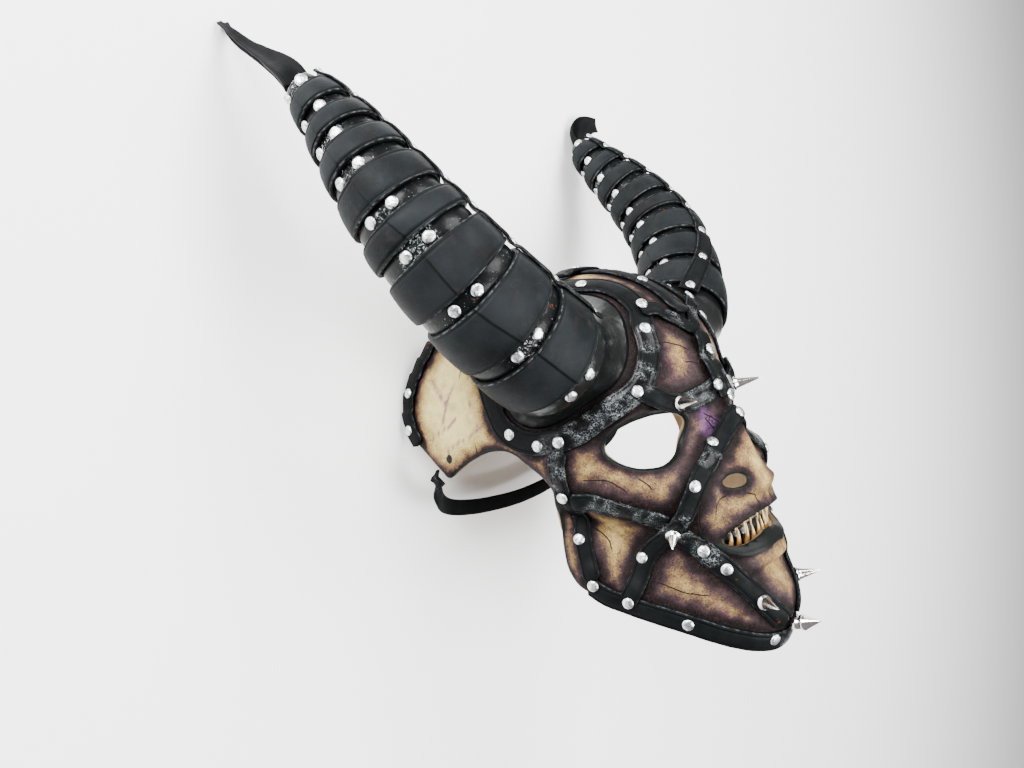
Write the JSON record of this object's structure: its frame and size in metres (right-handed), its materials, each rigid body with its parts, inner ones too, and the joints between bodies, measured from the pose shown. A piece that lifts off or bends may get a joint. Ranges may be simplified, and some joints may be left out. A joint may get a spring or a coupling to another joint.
{
  "type": "horned leather mask",
  "caption": "Moulded tan leather demon mask with riveted black straps, spikes, bared teeth and big curling horns of lapped leather.",
  "frame": {"origin": "centre of the overall box, on the floor that the mask lies on", "axes": "+Y towards the crown and the horn tips, +Z out of the face, +X towards the wearer's left"},
  "size_m": [0.341, 0.4086, 0.2464],
  "materials": {
    "tan_leather": "moulded hide, airbrushed dark round every strap, with fine painted cracks",
    "black_leather": "painted black hide, waxy, with crackled silvery glaze near the rivets",
    "gloss_leather": "smooth glossy black",
    "bright_metal": "polished, lightly scratched",
    "tooth_resin": "cast resin, amber at the root and ivory at the point"
  },
  "bodies": {
    "root": {"mask_shell": "tan_leather", "jaw_strap": "black_leather", "rear_edge_strap": "black_leather", "horn_ring_strap_right": "black_leather", "horn_ring_strap_left": "black_leather", "ear_strap_right": "black_leather", "ear_strap_left": "black_leather", "cheek_strap_right": "black_leather", "cheek_strap_left": "black_leather", "brow_strap": "black_leather", "hairline_strap": "black_leather", "nose_bridge_strap": "black_leather", "chin_strap_right": "black_leather", "chin_strap_left": "black_leather", "forehead_strap": "black_leather", "crown_strap": "black_leather", "crown_tab": "black_leather", "upper_teeth": "tooth_resin", "lower_teeth": "tooth_resin", "nape_strap": "black_leather", "horn_right_sleeve_1": "black_leather", "horn_right_sleeve_2": "black_leather", "horn_right_sleeve_3": "black_leather", "horn_right_sleeve_4": "black_leather", "horn_right_sleeve_5": "black_leather", "horn_right_sleeve_6": "black_leather", "horn_right_sleeve_7": "black_leather", "horn_right_sleeve_8": "black_leather", "horn_right_collar": "gloss_leather", "horn_right_strap": "black_leather", "horn_right_tail": "black_leather", "horn_left_sleeve_1": "black_leather", "horn_left_sleeve_2": "black_leather", "horn_left_sleeve_3": "black_leather", "horn_left_sleeve_4": "black_leather", "horn_left_sleeve_5": "black_leather", "horn_left_sleeve_6": "black_leather", "horn_left_sleeve_7": "black_leather", "horn_left_sleeve_8": "black_leather", "horn_left_collar": "gloss_leather", "horn_left_strap": "black_leather", "horn_left_tail": "black_leather", "brow_spike_right": "bright_metal", "brow_spike_left": "bright_metal", "cheek_spike_right": "bright_metal", "cheek_spike_left": "bright_metal", "chin_spike_right": "bright_metal", "chin_spike_left": "bright_metal", "chin_centre_spike": "bright_metal"}
  },
  "joints": []
}
